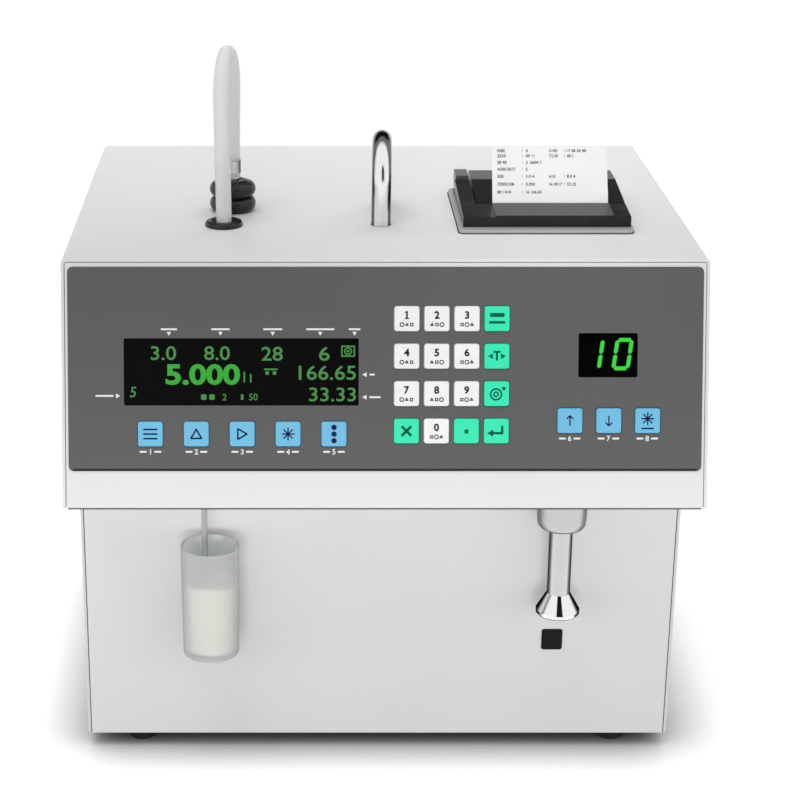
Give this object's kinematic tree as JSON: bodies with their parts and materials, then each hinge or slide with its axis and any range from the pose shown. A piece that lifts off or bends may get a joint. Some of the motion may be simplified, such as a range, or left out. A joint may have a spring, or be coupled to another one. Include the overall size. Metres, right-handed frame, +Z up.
{
  "type": "milk analyzer",
  "caption": "Bench milk analyzer with tilted key and display head, sample cup, ultrasonic stirring horn, hose loop, outlet pipe and receipt printer",
  "frame": {"origin": "centre of the case on the surface the feet stand on", "axes": "+X to the right of the operator, +Y to the rear, +Z up"},
  "size_m": [0.3, 0.2624, 0.3471],
  "materials": {
    "case_paint": "fine satin powder coat",
    "grey_overlay": "satin printed film",
    "blue_key": "satin",
    "white_key": "satin",
    "green_key": "satin",
    "black_plastic": "semi gloss",
    "black_rubber": "matt",
    "dark_lens": "clear dark lens",
    "board_green": "solder mask",
    "clear_cup": "frosted clear",
    "milk_white": "liquid",
    "steel": "brushed",
    "chrome": "polished",
    "aluminium": "machined",
    "clear_hose": "clear soft tube",
    "flange_grey": "satin",
    "paper_white": "smooth"
  },
  "bodies": {
    "case": {"hood": "case_paint", "front_fascia": "case_paint", "key_overlay": "grey_overlay", "base_case": "case_paint", "lower_front_panel": "case_paint", "rear_panel": "case_paint", "feet": "black_rubber", "display_windows": "dark_lens", "display_module": "black_plastic", "keypad_board": "board_green", "cup_rail": "steel", "inlet_tube": "steel", "measuring_cell": "aluminium", "pump_head": "black_plastic", "loop_hose": "clear_hose", "hose_grommets": "black_rubber", "return_manifold": "steel", "outlet_pipe": "chrome", "stirrer_boss": "case_paint", "stirrer_horn": "chrome", "stirrer_transducer": "aluminium", "cup_sensor": "black_plastic", "printer_flange": "flange_grey", "printer_frame": "black_plastic", "print_head": "aluminium", "rear_fittings": "black_plastic", "main_board": "board_green"},
    "function_key_1": {"function_key_1": "blue_key"},
    "function_key_2": {"function_key_2": "blue_key"},
    "function_key_3": {"function_key_3": "blue_key"},
    "function_key_4": {"function_key_4": "blue_key"},
    "function_key_5": {"function_key_5": "blue_key"},
    "number_key_1": {"number_key_1": "white_key"},
    "number_key_2": {"number_key_2": "white_key"},
    "number_key_3": {"number_key_3": "white_key"},
    "side_key_1": {"side_key_1": "green_key"},
    "number_key_4": {"number_key_4": "white_key"},
    "number_key_5": {"number_key_5": "white_key"},
    "number_key_6": {"number_key_6": "white_key"},
    "side_key_2": {"side_key_2": "green_key"},
    "number_key_7": {"number_key_7": "white_key"},
    "number_key_8": {"number_key_8": "white_key"},
    "number_key_9": {"number_key_9": "white_key"},
    "side_key_3": {"side_key_3": "green_key"},
    "side_key_5": {"side_key_5": "green_key"},
    "number_key_0": {"number_key_0": "white_key"},
    "side_key_6": {"side_key_6": "green_key"},
    "side_key_4": {"side_key_4": "green_key"},
    "stirrer_key_up": {"stirrer_key_up": "blue_key"},
    "stirrer_key_down": {"stirrer_key_down": "blue_key"},
    "stirrer_key_start": {"stirrer_key_start": "blue_key"},
    "cup": {"sample_cup": "clear_cup", "milk": "milk_white"},
    "lid": {"printer_lid": "black_plastic", "paper_strip": "paper_white"},
    "platen": {"platen_roller": "black_rubber"},
    "paper": {"paper_roll": "paper_white"},
    "lever": {"release_lever": "black_plastic"},
    "rotor": {"pump_rotor": "aluminium"},
    "rocker": {"power_rocker": "black_plastic"}
  },
  "joints": [
    {"name": "function_key_1_press", "type": "slide", "parent": "case", "child": "function_key_1", "axis": [0, 0.9638, -0.2668], "range_m": [0, 0.0006], "stiffness_N_per_m": 400},
    {"name": "function_key_2_press", "type": "slide", "parent": "case", "child": "function_key_2", "axis": [0, 0.9638, -0.2668], "range_m": [0, 0.0006], "stiffness_N_per_m": 400},
    {"name": "function_key_3_press", "type": "slide", "parent": "case", "child": "function_key_3", "axis": [0, 0.9638, -0.2668], "range_m": [0, 0.0006], "stiffness_N_per_m": 400},
    {"name": "function_key_4_press", "type": "slide", "parent": "case", "child": "function_key_4", "axis": [0, 0.9638, -0.2668], "range_m": [0, 0.0006], "stiffness_N_per_m": 400},
    {"name": "function_key_5_press", "type": "slide", "parent": "case", "child": "function_key_5", "axis": [0, 0.9638, -0.2668], "range_m": [0, 0.0006], "stiffness_N_per_m": 400},
    {"name": "number_key_1_press", "type": "slide", "parent": "case", "child": "number_key_1", "axis": [0, 0.9638, -0.2668], "range_m": [0, 0.0006], "stiffness_N_per_m": 400},
    {"name": "number_key_2_press", "type": "slide", "parent": "case", "child": "number_key_2", "axis": [0, 0.9638, -0.2668], "range_m": [0, 0.0006], "stiffness_N_per_m": 400},
    {"name": "number_key_3_press", "type": "slide", "parent": "case", "child": "number_key_3", "axis": [0, 0.9638, -0.2668], "range_m": [0, 0.0006], "stiffness_N_per_m": 400},
    {"name": "side_key_1_press", "type": "slide", "parent": "case", "child": "side_key_1", "axis": [0, 0.9638, -0.2668], "range_m": [0, 0.0006], "stiffness_N_per_m": 400},
    {"name": "number_key_4_press", "type": "slide", "parent": "case", "child": "number_key_4", "axis": [0, 0.9638, -0.2668], "range_m": [0, 0.0006], "stiffness_N_per_m": 400},
    {"name": "number_key_5_press", "type": "slide", "parent": "case", "child": "number_key_5", "axis": [0, 0.9638, -0.2668], "range_m": [0, 0.0006], "stiffness_N_per_m": 400},
    {"name": "number_key_6_press", "type": "slide", "parent": "case", "child": "number_key_6", "axis": [0, 0.9638, -0.2668], "range_m": [0, 0.0006], "stiffness_N_per_m": 400},
    {"name": "side_key_2_press", "type": "slide", "parent": "case", "child": "side_key_2", "axis": [0, 0.9638, -0.2668], "range_m": [0, 0.0006], "stiffness_N_per_m": 400},
    {"name": "number_key_7_press", "type": "slide", "parent": "case", "child": "number_key_7", "axis": [0, 0.9638, -0.2668], "range_m": [0, 0.0006], "stiffness_N_per_m": 400},
    {"name": "number_key_8_press", "type": "slide", "parent": "case", "child": "number_key_8", "axis": [0, 0.9638, -0.2668], "range_m": [0, 0.0006], "stiffness_N_per_m": 400},
    {"name": "number_key_9_press", "type": "slide", "parent": "case", "child": "number_key_9", "axis": [0, 0.9638, -0.2668], "range_m": [0, 0.0006], "stiffness_N_per_m": 400},
    {"name": "side_key_3_press", "type": "slide", "parent": "case", "child": "side_key_3", "axis": [0, 0.9638, -0.2668], "range_m": [0, 0.0006], "stiffness_N_per_m": 400},
    {"name": "side_key_5_press", "type": "slide", "parent": "case", "child": "side_key_5", "axis": [0, 0.9638, -0.2668], "range_m": [0, 0.0006], "stiffness_N_per_m": 400},
    {"name": "number_key_0_press", "type": "slide", "parent": "case", "child": "number_key_0", "axis": [0, 0.9638, -0.2668], "range_m": [0, 0.0006], "stiffness_N_per_m": 400},
    {"name": "side_key_6_press", "type": "slide", "parent": "case", "child": "side_key_6", "axis": [0, 0.9638, -0.2668], "range_m": [0, 0.0006], "stiffness_N_per_m": 400},
    {"name": "side_key_4_press", "type": "slide", "parent": "case", "child": "side_key_4", "axis": [0, 0.9638, -0.2668], "range_m": [0, 0.0006], "stiffness_N_per_m": 400},
    {"name": "stirrer_key_up_press", "type": "slide", "parent": "case", "child": "stirrer_key_up", "axis": [0, 0.9638, -0.2668], "range_m": [0, 0.0006], "stiffness_N_per_m": 400},
    {"name": "stirrer_key_down_press", "type": "slide", "parent": "case", "child": "stirrer_key_down", "axis": [0, 0.9638, -0.2668], "range_m": [0, 0.0006], "stiffness_N_per_m": 400},
    {"name": "stirrer_key_start_press", "type": "slide", "parent": "case", "child": "stirrer_key_start", "axis": [0, 0.9638, -0.2668], "range_m": [0, 0.0006], "stiffness_N_per_m": 400},
    {"name": "cup_slide", "type": "slide", "parent": "case", "child": "cup", "axis": [0, 0, -1], "range_m": [0, 0.038]},
    {"name": "lid_hinge", "type": "hinge", "parent": "case", "child": "lid", "pos_m": [0.0837, 0.02249, 0.2664], "axis": [-1, 0, 0], "range_deg": [0, 80]},
    {"name": "platen_spin", "type": "hinge", "parent": "lid", "child": "platen", "pos_m": [0.0837, -0.02541, 0.2626], "axis": [-1, 0, 0], "continuous": true},
    {"name": "paper_spin", "type": "hinge", "parent": "case", "child": "paper", "pos_m": [0.0837, -0.00101, 0.238], "axis": [1, 0, 0], "continuous": true},
    {"name": "lever_press", "type": "hinge", "parent": "case", "child": "lever", "pos_m": [0.04325, 0.01919, 0.2676], "axis": [1, 0, 0], "range_deg": [0, 7], "stiffness_Nm_per_rad": 0.05},
    {"name": "rotor_spin", "type": "hinge", "parent": "case", "child": "rotor", "pos_m": [-0.0765, -0.04085, 0.072], "axis": [0, 1, 0], "continuous": true},
    {"name": "rocker_tilt", "type": "hinge", "parent": "case", "child": "rocker", "pos_m": [0.105, 0.12245, 0.04], "axis": [1, 0, 0], "range_deg": [0, 16]}
  ],
  "couplings": [
    {"joint": "platen_spin", "follows": "paper_spin", "ratio": 3.8636}
  ]
}
